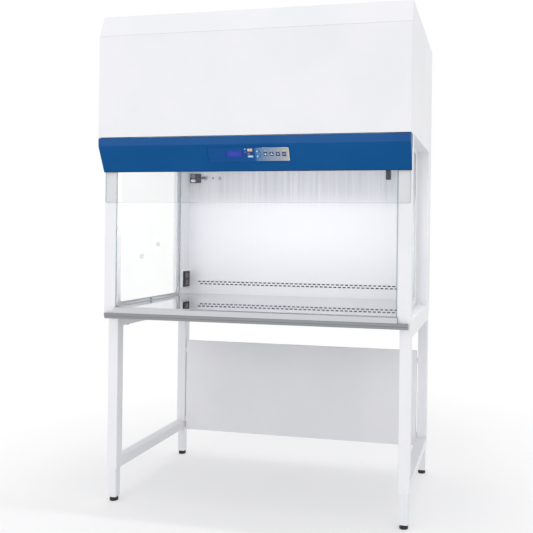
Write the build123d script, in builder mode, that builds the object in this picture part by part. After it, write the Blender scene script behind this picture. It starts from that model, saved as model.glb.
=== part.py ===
from build123d import *
import math
import os

os.makedirs("parts", exist_ok=True)

# Vertical laminar flow hood on a telescoping stand, in millimetres.
# +X is the object's right as seen from the front, the front faces -Y, +Z is up.
# The floor is Z = 0 and the cabinet's width is centred on X = 0.

# Overall sizes of the cabinet
CAB_W = 1340.0
FACE_Y = -402.5
POST_Y = -347.0
BACK_Y = 402.5
BASE_Z = 809.0
WALL_TOP_Z = BASE_Z + 791.0
CREASE_Z = BASE_Z + 1205.0
ROOF_Z = BASE_Z + 1299.0
SLOPE_RUN = 38.0
SHEET = 2.0
FIT = 0.5

# Side walls and their windows
WALL_T = 52.0
LINER_T = 1.5
GLASS_T = 6.0
WIN_Y0 = -307.0
WIN_Y1 = 290.0
WIN_Z0 = BASE_Z + 36.0
WIN_Z1 = BASE_Z + 781.0
WIN_R = 12.0
LIGHT_Y0 = -305.0
LIGHT_Y1 = 215.0
LIGHT_Z0 = BASE_Z + 68.0
LIGHT_Z1 = BASE_Z + 763.0
GLASS_LAP = 35.0
GLASS_FRONT_GAP = 1.0

# Chamber
WORK_Z = BASE_Z + 51.0
WORK_SHEET = 1.5
WORK_GAP = 1.5
NOSE_R = 16.0
NOSE_OUT = 12.0
NOSE_BOTTOM_Z = BASE_Z + 24.5
RAIL_W = CAB_W - 18.0
RAIL_TOP_Z = BASE_Z + 24.0
RAIL_STEP_Z = BASE_Z + 11.5
RAIL_BEAD = 4.0
RAIL_SHEET = 2.0
REAR_WALL_Y = 363.0
REAR_SHEET = 1.5
SLOT_L = 17.0
SLOT_H = 6.0
SLOT_PITCH = 24.4
SLOT_COUNT = int((CAB_W - 210.0) / SLOT_PITCH)
SLOT_Z = BASE_Z + 117.0
SLOT_ROW = 12.5

# Front visor
VISOR_Z0 = BASE_Z + 501.0
VISOR_Z1 = BASE_Z + 711.0
VISOR_T = 6.0
VISOR_W = CAB_W - 10.0

# Control fascia: upper facet upright, main facet sloping back on its way down
FASCIA_TOP = BASE_Z + 772.0
FASCIA_CREASE = BASE_Z + 738.0
FASCIA_BOTTOM = BASE_Z + 631.0
FASCIA_RUN = 46.0
FASCIA_SHEET = 2.0
PANEL_W = 358.0
PANEL_S0 = 11.0
PANEL_S1 = 80.0
PANEL_DEEP = 1.6
KEY_TRAVEL = 0.8
KEY_PROUD = 1.4
KEY_GAP = 0.3
KEY_FLANGE = 0.6
KEY_FLANGE_T = 0.8
KEY_SLACK = 0.05
BOARD_GAP = 0.35
LENS_R = 2.0
TRAY_BACK = -5.0
OVERLAY_T = 0.4
# Keys on the control panel: name, x, distance below the crease, width, height; a height of 0 is a round key
KEYS = (("key_light", 73.0, 46.0, 19.0, 19.0),
        ("key_fan", 99.3, 46.0, 19.0, 19.0),
        ("key_lamp", 125.7, 46.0, 19.0, 19.0),
        ("key_socket", 152.0, 46.0, 19.0, 19.0),
        ("key_up", 38.0, 33.0, 11.0, 0.0),
        ("key_down", 38.0, 54.5, 11.0, 0.0),
        ("key_set", 7.7, 26.5, 23.0, 12.5),
        ("key_menu", 7.7, 41.5, 23.0, 8.5),
        ("key_mute", 7.7, 53.5, 23.0, 8.5))
LCD = (-62.0, 42.3, 76.0, 29.0)
LENSES = ((73.0, 29.8), (99.3, 29.8), (125.7, 29.8), (152.0, 29.8), (-13.3, 22.5), (-13.3, 35.0))

# Filter stack and blower
FILTER_H = 88.0
GASKET_H = 8.0
GASKET_W = 18.0
RING_W = 80.0
COVER_GAP = 3.0
PREFILTER_Y = 60.0
PREFILTER_NX = 12
PREFILTER_NY = 20
PAD_H = 20.0
LAMP_R = 13.0
LAMP_HALF = CAB_W / 2 - 80.0
LAMP_Y = POST_Y + 55.0
LAMP_Z = BASE_Z + 751.0
INLET_X = 420.0
INLET_Z = BASE_Z + 951.0
BLOWER_W = 170.0
BLOWER_Y = 10.0
BLOWER_Z = BASE_Z + 1096.0
IMP_R = 105.0
IMP_RING = 20.0
BLADE_INNER = IMP_R - 23.0
IMP_HUB = 34.0
IMP_BLADES = 36
SHAFT_R = 6.0
SCROLL_R0 = IMP_R + 15.0
SCROLL_R1 = IMP_R + 80.0
SCROLL_TONGUE = 230.0

# Stand
TUBE = 46.0
TUBE_WALL = 2.5
STAND_X = CAB_W / 2 - 2.0
LEG_Y = -313.0
REAR_LEG_Y = 346.0
TUBE_BOTTOM = 144.0
BAR_H = 40.0
INNER = 36.0
INNER_WALL = 2.0
INNER_TOP = 420.0
INNER_BOTTOM = 18.0
BUSH_GAP = 0.1
FOOT_R = 18.0
STUD_R = 6.0
STUD_TOP = 62.0
STUD_GAP = 0.08
PANEL_Z0 = 138.0
PANEL_Z1 = 610.0
PANEL_SIDE_GAP = 7.0
PANEL_RETURN = 22.0
PANEL_SHEET = 1.5
PANEL_SCREW_ZS = (190.0, 560.0)
PANEL_SCREW_Y = REAR_LEG_Y + 13.0
LOCK_Z = 200.0
LOCK_R = 4.0

# Fixings and fittings
BOLT_YS = (-196.0, 217.0)
BOLT_R = 5.0
BOLT_CLEAR = 0.5
PANE_SCREW_R = 2.5
PANE_SCREW_HEAD_R = 4.5
PANE_SCREWS = ((-43.0, WORK_Z + 9.0), (-43.0, WALL_TOP_Z - 14.0))
PLUG_R = 10.0
PLUG_AT = ((-136.0, BASE_Z + 264.0), (16.0, BASE_Z + 318.0))
RAIL_SCREWS = (84.0 - RAIL_W / 2, 0.0, RAIL_W / 2 - 84.0)
RAIL_SCREW_Z = BASE_Z + 6.0
OUTLET_Y = 318.0
OUTLET_Z = BASE_Z + 132.0
OUTLET_W = 84.0
OUTLET_H = 96.0
OUTLET_PLATE = 4.0
OUTLET_FACE_W = 62.0
OUTLET_FACE_H = 82.0
OUTLET_PROUD = 12.0
OUTLET_BEHIND = 28.0
OUTLET_BACK_W = 48.0
SOCKET_W = 46.0
SOCKET_H = 30.0
HOLDER_X = -583.0
HOLDER_Z = BASE_Z + 667.0
COCK_X = -526.0
COCK_Z = BASE_Z + 667.0
HOOK_X = 460.0
HOOK_Z = BASE_Z + 691.0

# Values that follow from the sizes above
HALF = CAB_W / 2
INNER_X = HALF - WALL_T
GLASS_X = INNER_X - LINER_T
CHAMBER_X = GLASS_X - GLASS_T
FACET_ANGLE = math.degrees(math.atan2(FASCIA_RUN, FASCIA_CREASE - FASCIA_BOTTOM))
NORMAL = (0, -math.cos(math.radians(FACET_ANGLE)), -math.sin(math.radians(FACET_ANGLE)))
LEG_X = STAND_X - TUBE / 2
RING_Z = WALL_TOP_Z + SHEET
DECK_Z = RING_Z + FILTER_H + GASKET_H
RAIL_Y = POST_Y - NOSE_OUT + 2.0
COVER_Z0 = FASCIA_TOP + COVER_GAP
RING_Y0 = POST_Y + 29.0
RING_Y1 = REAR_WALL_Y - 12.0
SCROLL_TONGUE_X = SCROLL_R0 * math.cos(math.radians(SCROLL_TONGUE))
PANEL = Plane(origin=(0, FACE_Y, FASCIA_CREASE), x_dir=(1, 0, 0), z_dir=NORMAL)
PANEL_MID = -(PANEL_S0 + PANEL_S1) / 2
OVERLAY_TOP = -PANEL_DEEP + OVERLAY_T
BOARD_TOP = TRAY_BACK - KEY_SLACK - KEY_FLANGE_T - KEY_TRAVEL - BOARD_GAP
FRONT_AXIS = LEG_Y + TUBE / 2
REAR_AXIS = REAR_LEG_Y + TUBE / 2
# Holes in the rear wall: x, z, radius
WALL_HOLES = ((COCK_X, COCK_Z, 6.0), (-485.0, COCK_Z + 1, 5.0), (-446.0, COCK_Z, 6.0))


def save(shape, name):
    """Label one node and write it as its own STEP file."""
    shape.label = name
    export_step(shape, "parts/" + name + ".step")


def block(x0, x1, y0, y1, z0, z1, mode=Mode.ADD):
    """A box between two corners, for use inside a part context."""
    with Locations(((x0 + x1) / 2, (y0 + y1) / 2, (z0 + z1) / 2)):
        Box(x1 - x0, y1 - y0, z1 - z0, mode=mode)


def side_profile(points, x0, x1, mode=Mode.ADD):
    """Extrude a (y, z) outline from x0 to x1, for use inside a part context."""
    with BuildSketch(Plane.YZ.offset(x0)) as outline:
        with BuildLine():
            Polyline(*points, close=True)
        make_face()
    extrude(outline.sketch, amount=x1 - x0, mode=mode)


def cyl(plane, radius, length, mode=Mode.ADD):
    """A cylinder standing on a plane, for use inside a part context."""
    with BuildSketch(plane) as disc:
        Circle(radius)
    extrude(disc.sketch, amount=length, mode=mode)


def mirrored(shape):
    """The same sub-part on the other side of the object."""
    return mirror(shape, about=Plane.YZ)


def group(*shapes):
    """Several solids as one node."""
    solids = []
    for shape in shapes:
        solids.extend(shape.solids())
    return Compound(children=solids)


def window_sketch(margin=0.0):
    """Side window opening, for use inside a sketch on a YZ plane."""
    with Locations(((WIN_Y0 + WIN_Y1) / 2, (WIN_Z0 + WIN_Z1) / 2)):
        RectangleRounded(WIN_Y1 - WIN_Y0 + 2 * margin, WIN_Z1 - WIN_Z0 + 2 * margin, WIN_R + margin)


def light_sketch():
    """Smaller opening in the inner sheet, for use inside a sketch on a YZ plane."""
    with Locations(((LIGHT_Y0 + LIGHT_Y1) / 2, (LIGHT_Z0 + LIGHT_Z1) / 2)):
        RectangleRounded(LIGHT_Y1 - LIGHT_Y0, LIGHT_Z1 - LIGHT_Z0, WIN_R)


def side_tray():
    """Right-hand outer wall: one folded tray with a returned window opening."""
    with BuildPart() as tray:
        block(INNER_X, HALF, POST_Y, BACK_Y - SHEET, BASE_Z, WALL_TOP_Z)
        upright = tray.edges().filter_by(Axis.Z).group_by(Axis.X)[-1].sort_by(Axis.Y)
        fillet(upright[0], 3.0)
        block(INNER_X - 1, HALF - SHEET, POST_Y + SHEET, BACK_Y - 2 * SHEET, BASE_Z + SHEET,
              WALL_TOP_Z - SHEET, mode=Mode.SUBTRACT)
        with BuildSketch(Plane.YZ.offset(INNER_X)):
            window_sketch(SHEET)
        extrude(amount=WALL_T)
        with BuildSketch(Plane.YZ.offset(INNER_X - 1)):
            window_sketch()
        extrude(amount=WALL_T + 2, mode=Mode.SUBTRACT)
        for y in BOLT_YS:
            cyl(Plane(origin=(LEG_X, y, BASE_Z - 1), z_dir=(0, 0, 1)), BOLT_R, SHEET + 2, mode=Mode.SUBTRACT)
    return tray.part


def side_liner(outlet=False):
    """Inner sheet of a side wall, with the same window and the glass screw holes."""
    with BuildPart() as liner:
        block(GLASS_X, INNER_X, POST_Y, REAR_WALL_Y + 10, BASE_Z + SHEET, WALL_TOP_Z)
        with BuildSketch(Plane.YZ.offset(GLASS_X - 1)):
            light_sketch()
            if outlet:
                with Locations((OUTLET_Y, OUTLET_Z)):
                    Rectangle(OUTLET_BACK_W, OUTLET_FACE_H)
            with Locations(*PANE_SCREWS):
                Circle(PANE_SCREW_R)
        extrude(amount=LINER_T + 2, mode=Mode.SUBTRACT)
    return liner.part


def side_pane(plugs=False):
    """Side window pane, held against the liner."""
    y0 = POST_Y + GLASS_FRONT_GAP
    y1 = LIGHT_Y1 + GLASS_LAP
    z0 = WORK_Z + 2.0
    z1 = WALL_TOP_Z - 4.0
    with BuildPart() as pane:
        with BuildSketch(Plane.YZ.offset(CHAMBER_X)):
            with Locations(((y0 + y1) / 2, (z0 + z1) / 2)):
                Rectangle(y1 - y0, z1 - z0)
            with Locations(*PANE_SCREWS):
                Circle(PANE_SCREW_R, mode=Mode.SUBTRACT)
            if plugs:
                with Locations(*PLUG_AT):
                    Circle(PLUG_R, mode=Mode.SUBTRACT)
        extrude(amount=GLASS_T)
    return pane.part


def pane_screws():
    """Button-head screws that hold the pane to the liner."""
    with BuildPart() as screws:
        for y, z in PANE_SCREWS:
            seat = Plane(origin=(CHAMBER_X, y, z), x_dir=(0, 1, 0), z_dir=(-1, 0, 0))
            with BuildSketch(seat):
                Circle(PANE_SCREW_HEAD_R)
            extrude(amount=2.2, taper=18)
            with BuildSketch(seat.offset(-GLASS_T - LINER_T - 3)):
                Circle(PANE_SCREW_R)
            extrude(amount=GLASS_T + LINER_T + 3)
            with BuildSketch(seat.offset(2.2)):
                RegularPolygon(1.4, 6)
            extrude(amount=-1.4, mode=Mode.SUBTRACT)
    return screws.part


def pane_plugs():
    """Two plugs that close the tubing holes in the left pane, built on the right."""
    with BuildPart() as plugs:
        for y, z in PLUG_AT:
            inside = Plane(origin=(CHAMBER_X, y, z), x_dir=(0, 1, 0), z_dir=(-1, 0, 0))
            with BuildSketch(inside):
                Circle(PLUG_R + 3.0)
            extrude(amount=3.0, taper=12)
            with BuildSketch(inside.offset(-GLASS_T)):
                Circle(PLUG_R)
            extrude(amount=GLASS_T)
            with BuildSketch(inside.offset(3.0)):
                Circle(PLUG_R - 4.0)
            extrude(amount=-1.2, mode=Mode.SUBTRACT)
    return plugs.part


tray_right = side_tray()
save(tray_right, "side_tray_right")
save(mirrored(tray_right), "side_tray_left")
save(side_liner(), "side_liner_right")
save(mirrored(side_liner(outlet=True)), "side_liner_left")
save(side_pane(), "side_pane_right")
save(mirrored(side_pane(plugs=True)), "side_pane_left")
screws_right = pane_screws()


def outlet_parts():
    """Duplex outlet on the left liner: a plate and a dark body with two socket faces."""
    face = Plane(origin=(-GLASS_X, OUTLET_Y, OUTLET_Z), x_dir=(0, 1, 0), z_dir=(1, 0, 0))
    front = face.offset(OUTLET_PROUD)
    middle = SOCKET_H / 2 + 5
    with BuildPart() as plate:
        with BuildSketch(face):
            RectangleRounded(OUTLET_W, OUTLET_H, 4)
            Rectangle(OUTLET_FACE_W, OUTLET_FACE_H, mode=Mode.SUBTRACT)
        extrude(amount=OUTLET_PLATE)
        chamfer(plate.faces().sort_by(Axis.X)[-1].outer_wire().edges(), 1.0)
    with BuildPart() as body:
        with BuildSketch(face.offset(-LINER_T - OUTLET_BEHIND)):
            Rectangle(OUTLET_BACK_W, OUTLET_FACE_H)
        extrude(amount=LINER_T + OUTLET_BEHIND)
        with BuildSketch(face):
            Rectangle(OUTLET_FACE_W, OUTLET_FACE_H)
        extrude(amount=OUTLET_PROUD)
        chamfer(body.faces().sort_by(Axis.X)[-1].outer_wire().edges(), 1.5)
        with BuildSketch(front):
            with GridLocations(1, 2 * middle, 1, 2):
                RectangleRounded(SOCKET_W + 2, SOCKET_H + 2, 4)
        extrude(amount=-3.0, mode=Mode.SUBTRACT)
        with BuildSketch(front.offset(-3.0)):
            with GridLocations(1, 2 * middle, 1, 2):
                RectangleRounded(SOCKET_W, SOCKET_H, 3)
        extrude(amount=2.6)
        with BuildSketch(front.offset(-0.4)):
            with GridLocations(12, 2 * middle, 2, 2):
                with Locations((0, 3)):
                    Rectangle(2.2, 8)
            with GridLocations(1, 2 * middle, 1, 2):
                with Locations((0, -8)):
                    Circle(2.4)
        extrude(amount=-8.0, mode=Mode.SUBTRACT)
        with BuildSketch(front):
            RectangleRounded(26, 6, 1.5)
        extrude(amount=0.8)
    save(plate.part, "outlet_plate")
    save(body.part, "outlet_frame")


outlet_parts()


def rail_outline():
    """Section of the front rail: a recessed screw band below a bead that stands further out."""
    t = RAIL_SHEET
    back = POST_Y - FIT / 2
    bead = RAIL_Y - RAIL_BEAD
    return ((back, BASE_Z), (RAIL_Y, BASE_Z), (RAIL_Y, RAIL_STEP_Z - 1), (bead, RAIL_STEP_Z + 1),
            (bead, RAIL_TOP_Z), (back, RAIL_TOP_Z), (back, RAIL_TOP_Z - t), (bead + t, RAIL_TOP_Z - t),
            (bead + t, RAIL_STEP_Z + 2), (RAIL_Y + t, RAIL_STEP_Z),
             (RAIL_Y + t, BASE_Z + t), (back, BASE_Z + t))


def base_pan():
    """Steel pan under the worktop, with its ledges, stiffeners and full-width front rail."""
    under = WORK_Z - WORK_SHEET
    end_y = BACK_Y - 3 * SHEET
    with BuildPart() as pan:
        block(-GLASS_X, GLASS_X, RAIL_Y + 1, end_y, BASE_Z, BASE_Z + SHEET)
        block(-GLASS_X, GLASS_X, end_y - SHEET, end_y, BASE_Z, under)
        for side in (-1, 1):
            edge = side * GLASS_X
            for depth, y0, y1, z0 in ((SHEET, POST_Y + 1, end_y, BASE_Z),
                                      (22.0, POST_Y + 12, REAR_WALL_Y + 12, under - SHEET)):
                inner = side * (GLASS_X - depth)
                block(min(edge, inner), max(edge, inner), y0, y1, z0, under)
        for y in (-180.0, 0.0, 180.0):
            for web in (-20.0, 20.0 - SHEET):
                block(-GLASS_X, GLASS_X, y + web, y + web + SHEET, BASE_Z, under)
            block(-GLASS_X, GLASS_X, y - 20.0, y + 20.0, under - SHEET, under)
        block(-GLASS_X, GLASS_X, REAR_WALL_Y - 30, REAR_WALL_Y + 12, under - SHEET, under)
        side_profile(rail_outline(), -RAIL_W / 2, RAIL_W / 2)
        bead = [edge for edge in pan.edges().filter_by(Axis.X) if edge.center().Y < RAIL_Y - RAIL_BEAD + 0.01]
        fillet(bead, 1.2)
        for x in RAIL_SCREWS:
            hole = Plane(origin=(x, RAIL_Y - 1, RAIL_SCREW_Z), x_dir=(1, 0, 0), z_dir=(0, 1, 0))
            cyl(hole, 2.0, SHEET + 2, mode=Mode.SUBTRACT)
    return pan.part


def rail_screws():
    """Pan-head screws in the front rail."""
    with BuildPart() as screws:
        for x in RAIL_SCREWS:
            seat = Plane(origin=(x, RAIL_Y, RAIL_SCREW_Z), x_dir=(1, 0, 0), z_dir=(0, -1, 0))
            with BuildSketch(seat):
                Circle(3.8)
            extrude(amount=1.8, taper=20)
            with BuildSketch(seat.offset(-6)):
                Circle(2.0)
            extrude(amount=6)
            with BuildSketch(seat.offset(1.8)):
                Rectangle(4.2, 0.9)
                Rectangle(0.9, 4.2)
            extrude(amount=-1.0, mode=Mode.SUBTRACT)
    return screws.part


def worktop():
    """One stainless sheet: flat top between the panes and a rolled nose between the posts."""
    front = POST_Y - NOSE_OUT
    bend = front + NOSE_R
    under = WORK_Z - WORK_SHEET
    back = REAR_WALL_Y - 1.0
    nose = INNER_X - FIT
    with BuildPart() as top:
        with BuildSketch(Plane.YZ.offset(-nose)):
            with BuildLine():
                Polyline((back, under), (back, WORK_Z), (bend, WORK_Z))
                CenterArc((bend, WORK_Z - NOSE_R), NOSE_R, 90, 90)
                Polyline((front, WORK_Z - NOSE_R), (front, NOSE_BOTTOM_Z),
                         (front + WORK_SHEET, NOSE_BOTTOM_Z),
                         (front + WORK_SHEET, WORK_Z - NOSE_R))
                CenterArc((bend, WORK_Z - NOSE_R), NOSE_R - WORK_SHEET, 90, 90)
                Line((bend, under), (back, under))
            make_face()
        extrude(amount=2 * nose)
        flat = CHAMBER_X - WORK_GAP
        for side in (-1, 1):
            x0, x1 = sorted((side * flat, side * (nose + 1)))
            block(x0, x1, POST_Y - 0.3, BACK_Y, NOSE_BOTTOM_Z - 5, WORK_Z + 5, mode=Mode.SUBTRACT)
    return top.part


def rear_wall():
    """Stainless rear wall with two staggered rows of exhaust slots and the fitting holes."""
    with BuildPart() as wall:
        block(-GLASS_X + 0.2, GLASS_X - 0.2, REAR_WALL_Y, REAR_WALL_Y + REAR_SHEET, WORK_Z - WORK_SHEET,
              WALL_TOP_Z - 1.6)
        face = Plane(origin=(0, REAR_WALL_Y - 1, 0), x_dir=(1, 0, 0), z_dir=(0, -1, 0))
        with BuildSketch(face):
            for row, shift in ((0, -SLOT_PITCH / 4), (1, SLOT_PITCH / 4)):
                with Locations((shift, SLOT_Z - row * SLOT_ROW)):
                    with GridLocations(SLOT_PITCH, 1, SLOT_COUNT, 1):
                        SlotOverall(SLOT_L, SLOT_H)
            for x, z, r in WALL_HOLES:
                with Locations((x, z)):
                    Circle(r)
        extrude(amount=-REAR_SHEET - 2, mode=Mode.SUBTRACT)
    return wall.part


def back_panel():
    """Painted sheet that closes the cabinet's back, with its own exhaust slots."""
    with BuildPart() as panel:
        block(-HALF, HALF, BACK_Y - SHEET, BACK_Y, BASE_Z, WALL_TOP_Z)
        face = Plane(origin=(0, BACK_Y - SHEET - 1, 0), x_dir=(1, 0, 0), z_dir=(0, -1, 0))
        with BuildSketch(face):
            with Locations((0, SLOT_Z - SLOT_ROW / 2)):
                with GridLocations(70, 26, 16, 2):
                    SlotOverall(54, 10)
        extrude(amount=-SHEET - 2, mode=Mode.SUBTRACT)
    return panel.part


save(base_pan(), "base_pan")
save(worktop(), "worktop")
save(rear_wall(), "rear_wall")
save(back_panel(), "back_panel")


def wall_fittings():
    """Lamp holders, service cock and blanking plug high on the rear wall."""
    def on_wall(x, z):
        return Plane(origin=(x, REAR_WALL_Y, z), x_dir=(1, 0, 0), z_dir=(0, -1, 0))

    with BuildPart() as holder:
        with BuildSketch(on_wall(HOLDER_X, HOLDER_Z)):
            RectangleRounded(62, 50, 3)
        extrude(amount=3.0)
        with BuildSketch(on_wall(HOLDER_X - 12, HOLDER_Z + 10).offset(3.0)):
            Circle(11)
            Circle(7, mode=Mode.SUBTRACT)
        extrude(amount=9.0)
        with BuildSketch(on_wall(HOLDER_X - 12, HOLDER_Z + 10).offset(3.0)):
            Circle(7)
        extrude(amount=4.0)
    with BuildPart() as cap:
        with BuildSketch(on_wall(HOLDER_X - 10, HOLDER_Z - 14).offset(3.0)):
            RectangleRounded(22, 15, 4)
        extrude(amount=12.0)
        fillet(cap.faces().sort_by(Axis.Y)[0].edges(), 1.5)
    with BuildPart() as cock:
        with BuildSketch(on_wall(COCK_X, COCK_Z)):
            Circle(11)
        extrude(amount=4.0)
        with BuildSketch(on_wall(COCK_X, COCK_Z)):
            Circle(7.5)
        extrude(amount=24.0)
        with BuildSketch(on_wall(COCK_X, COCK_Z).offset(-REAR_SHEET - 10)):
            Circle(WALL_HOLES[0][2])
        extrude(amount=REAR_SHEET + 10)
        with BuildSketch(on_wall(COCK_X, COCK_Z).offset(24.0)):
            Circle(3.0)
        extrude(amount=8.0)
    with BuildPart() as lever:
        with BuildSketch(on_wall(COCK_X, COCK_Z).offset(24.4)):
            Circle(7.0)
            with Locations((-14, 0)):
                RectangleRounded(28, 9, 3)
            Circle(3.05, mode=Mode.SUBTRACT)
        extrude(amount=6.0)
    with BuildPart() as plug:
        x, z, r = WALL_HOLES[2]
        with BuildSketch(on_wall(x, z)):
            Circle(r + 3)
        extrude(amount=2.0, taper=15)
        with BuildSketch(on_wall(x, z).offset(-REAR_SHEET)):
            Circle(r)
        extrude(amount=REAR_SHEET)
    with BuildPart() as hook:
        with BuildSketch(on_wall(HOOK_X, HOOK_Z - 12)):
            RectangleRounded(26, 50, 4)
        extrude(amount=3.0)
        with BuildSketch(on_wall(HOOK_X, HOOK_Z).offset(3.0)):
            Circle(9)
        extrude(amount=12.0)
        with BuildSketch(Plane(origin=(HOOK_X, REAR_WALL_Y - 15, HOOK_Z), z_dir=(0, -1, 0))):
            Circle(4)
        extrude(amount=14.0)
        with BuildSketch(Plane(origin=(HOOK_X, REAR_WALL_Y - 25, HOOK_Z - 2), z_dir=(0, 0, -1))):
            Circle(3.5)
        extrude(amount=26.0)
    lamp_brackets = (holder.part, cap.part, hook.part)
    save(cock.part, "service_cock")
    save(lever.part, "cock_lever")
    save(group(plug.part, mirrored(pane_plugs())), "hole_plugs")
    return lamp_brackets


lamp_brackets = wall_fittings()


def visor_parts():
    """Fixed front glass in the plane of the posts, and the rail that clamps its top edge."""
    y0 = POST_Y - FIT - VISOR_T
    with BuildPart() as visor:
        block(-VISOR_W / 2, VISOR_W / 2, y0, POST_Y - FIT, VISOR_Z0, VISOR_Z1)
        fillet(visor.edges().filter_by(Axis.Y).group_by(Axis.Z)[0], 5.0)
        chamfer(visor.edges().filter_by(Axis.X).group_by(Axis.Z)[0], 0.8)
    with BuildPart() as rail:
        half = VISOR_W / 2 - 5
        block(-half, half, y0 - SHEET, y0, VISOR_Z1 - 20, VISOR_Z1 + 6)
        block(-half, half, y0 - SHEET, POST_Y, VISOR_Z1, VISOR_Z1 + 6)
    save(visor.part, "front_visor")
    save(rail.part, "visor_rail")


visor_parts()


def hood_case():
    """Upper case: sides, back, roof, sloping brow and the bottom ring that carries the filter."""
    inner = SHEET * math.hypot(SLOPE_RUN, ROOF_Z - CREASE_Z) / (ROOF_Z - CREASE_Z)
    outer_pts = ((FACE_Y, CREASE_Z + FIT), (FACE_Y + SLOPE_RUN, ROOF_Z), (BACK_Y, ROOF_Z),
                 (BACK_Y, WALL_TOP_Z),
                 (POST_Y - FIT, WALL_TOP_Z), (POST_Y - FIT, COVER_Z0), (FACE_Y + SHEET, COVER_Z0),
                 (FACE_Y + SHEET, CREASE_Z + FIT))
    slope = SLOPE_RUN / (ROOF_Z - CREASE_Z)
    inner_pts = ((FACE_Y + inner, CREASE_Z + FIT), (FACE_Y + inner + slope * (ROOF_Z - SHEET - CREASE_Z),
                 ROOF_Z - SHEET), (BACK_Y - SHEET, ROOF_Z - SHEET), (BACK_Y - SHEET, RING_Z),
                 (POST_Y + SHEET, RING_Z), (POST_Y + SHEET, COVER_Z0 - 10), (FACE_Y - 5, COVER_Z0 - 10),
                 (FACE_Y - 5, CREASE_Z + FIT))
    with BuildPart() as case:
        side_profile(outer_pts, -HALF, HALF)
        side_profile(inner_pts, -HALF + SHEET, HALF - SHEET, mode=Mode.SUBTRACT)
        block(-HALF + RING_W, HALF - RING_W, RING_Y0, RING_Y1, WALL_TOP_Z - 1, RING_Z + 1, mode=Mode.SUBTRACT)
        w = PREFILTER_NX * 20 + 12
        d = PREFILTER_NY * 8 + 10
        for side in (-1, 1):
            x0, x1 = sorted((side * (w + 0.5), side * (w + 2)))
            block(x0, x1, PREFILTER_Y - d, PREFILTER_Y + d, ROOF_Z - SHEET - PAD_H - 2, ROOF_Z - SHEET)
            x0, x1 = sorted((side * (w - 14), side * (w + 2)))
            under = ROOF_Z - SHEET - PAD_H
            block(x0, x1, PREFILTER_Y - d, PREFILTER_Y + d, under - 2, under)
        with BuildSketch(Plane.XY.offset(ROOF_Z + 1)):
            with Locations((0, PREFILTER_Y)):
                with GridLocations(40, 16, PREFILTER_NX, PREFILTER_NY):
                    SlotOverall(32, 8)
        extrude(amount=-SHEET - 2, mode=Mode.SUBTRACT)
        block(INLET_X - 24, INLET_X + 24, BACK_Y - SHEET - 1, BACK_Y + 1, INLET_Z - 14, INLET_Z + 14,
              mode=Mode.SUBTRACT)
    return case.part


def front_cover():
    """Removable front sheet of the hood, with returned edges."""
    ret = HALF - SHEET - FIT
    with BuildPart() as cover:
        block(-HALF, HALF, FACE_Y, FACE_Y + SHEET, COVER_Z0, CREASE_Z)
        block(-ret, ret, FACE_Y + SHEET, FACE_Y + 16, CREASE_Z - SHEET - FIT, CREASE_Z - FIT)
        block(-ret, ret, FACE_Y + SHEET, FACE_Y + 16, COVER_Z0, COVER_Z0 + SHEET)
        block(-ret, -ret + SHEET, FACE_Y + SHEET, FACE_Y + 16, COVER_Z0, CREASE_Z - FIT)
        block(ret - SHEET, ret, FACE_Y + SHEET, FACE_Y + 16, COVER_Z0, CREASE_Z - FIT)
        fillet(cover.edges().filter_by(Axis.Z).group_by(Axis.Y)[0], 1.5)
    return cover.part


save(hood_case(), "hood_case")
save(front_cover(), "front_cover")


def filter_stack():
    """Perforated diffuser, filter frame, pleated media, gasket and plenum deck."""
    x_out = HALF - RING_W + 16
    y_out0 = RING_Y0 - 16
    y_out1 = RING_Y1 + 16
    mid_y = (RING_Y0 + RING_Y1) / 2
    with BuildPart() as diffuser:
        block(-GLASS_X + 0.3, GLASS_X - 0.3, POST_Y + 2, REAR_WALL_Y + 9, WALL_TOP_Z - 1.5, WALL_TOP_Z)
        with BuildSketch(Plane.XY.offset(WALL_TOP_Z + 1)):
            with Locations((0, mid_y)):
                with GridLocations(44, 44, 26, 14):
                    Circle(9)
        extrude(amount=-4, mode=Mode.SUBTRACT)
    with BuildPart() as frame:
        block(-x_out, x_out, y_out0, y_out1, RING_Z, RING_Z + FILTER_H)
        block(-x_out + 14, x_out - 14, y_out0 + 14, y_out1 - 14, RING_Z - 1, RING_Z + FILTER_H + 1,
              mode=Mode.SUBTRACT)
    with BuildPart() as media:
        length = 2 * (x_out - 14.2)
        count = 70
        pitch = length / count
        low = RING_Z + 6
        high = RING_Z + FILTER_H - 6
        wall = 1.2
        upper = []
        lower = []
        for i in range(2 * count + 1):
            x = -length / 2 + i * pitch / 2
            z = high if i % 2 else low
            upper.append((x, z + wall))
            lower.append((x, z - wall))
        face = Plane(origin=(0, y_out1 - 14.2, 0), x_dir=(1, 0, 0), z_dir=(0, -1, 0))
        with BuildSketch(face):
            with BuildLine():
                Polyline(*upper, *reversed(lower), close=True)
            make_face()
        extrude(amount=y_out1 - y_out0 - 28.4)
    with BuildPart() as gasket:
        z0 = RING_Z + FILTER_H
        block(-x_out, x_out, y_out0, y_out1, z0, z0 + GASKET_H)
        block(-x_out + GASKET_W, x_out - GASKET_W, y_out0 + GASKET_W, y_out1 - GASKET_W,
              z0 - 1, z0 + GASKET_H + 1,
              mode=Mode.SUBTRACT)
    with BuildPart() as deck:
        block(-HALF + 6, HALF - 6, FACE_Y + 20, BACK_Y - SHEET - FIT, DECK_Z, DECK_Z + SHEET)
        block(-SCROLL_R1 + 4, SCROLL_TONGUE_X - 4, BLOWER_Y - BLOWER_W / 2 + 4, BLOWER_Y + BLOWER_W / 2 - 4,
              DECK_Z - 1, DECK_Z + SHEET + 1, mode=Mode.SUBTRACT)
    save(diffuser.part, "diffuser")
    save(frame.part, "filter_frame")
    save(media.part, "filter_media")
    save(gasket.part, "filter_gasket")
    save(deck.part, "plenum_deck")


filter_stack()


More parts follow.
